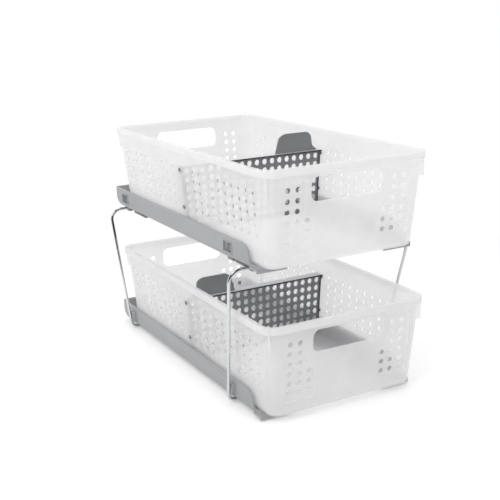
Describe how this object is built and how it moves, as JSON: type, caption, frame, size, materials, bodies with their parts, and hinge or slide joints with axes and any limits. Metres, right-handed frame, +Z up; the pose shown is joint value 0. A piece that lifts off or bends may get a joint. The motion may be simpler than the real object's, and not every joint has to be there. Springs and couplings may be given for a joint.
{
  "type": "under sink organizer",
  "caption": "Tiered under-sink organizer: frosted baskets with removable dividers slide out on moulded rails held between chromed wire hoops.",
  "frame": {"origin": "on the floor under the middle of the overall width and length", "axes": "+Z up, -Y is the front that the baskets are pulled out of, +X to the right as seen from the front"},
  "size_m": [0.2332, 0.422, 0.2745],
  "materials": {
    "basket_plastic": "frosted clear polypropylene, injection moulded, thin walls that let light through",
    "divider_plastic": "smoke-grey translucent polypropylene, moulded, fine matt grain",
    "rail_plastic": "mid-grey moulded polypropylene with a satin face",
    "clip_plastic": "mid-grey moulded acetal, satin",
    "chromed_wire": "bright chrome plating over drawn steel wire"
  },
  "bodies": {
    "frame": {"upper_left_rail": "rail_plastic", "upper_right_rail": "rail_plastic", "lower_left_rail": "rail_plastic", "lower_right_rail": "rail_plastic", "front_wire_hoop": "chromed_wire", "rear_wire_hoop": "chromed_wire", "front_left_clip": "clip_plastic", "front_right_clip": "clip_plastic", "rear_left_clip": "clip_plastic", "rear_right_clip": "clip_plastic"},
    "upper_drawer": {"upper_basket": "basket_plastic", "upper_divider": "divider_plastic"},
    "lower_drawer": {"lower_basket": "basket_plastic", "lower_divider": "divider_plastic"}
  },
  "joints": [
    {"name": "upper_basket_slide", "type": "slide", "parent": "frame", "child": "upper_drawer", "axis": [0, -1, 0], "range_m": [-0.025, 0.165]},
    {"name": "lower_basket_slide", "type": "slide", "parent": "frame", "child": "lower_drawer", "axis": [0, -1, 0], "range_m": [-0.025, 0.165]}
  ]
}
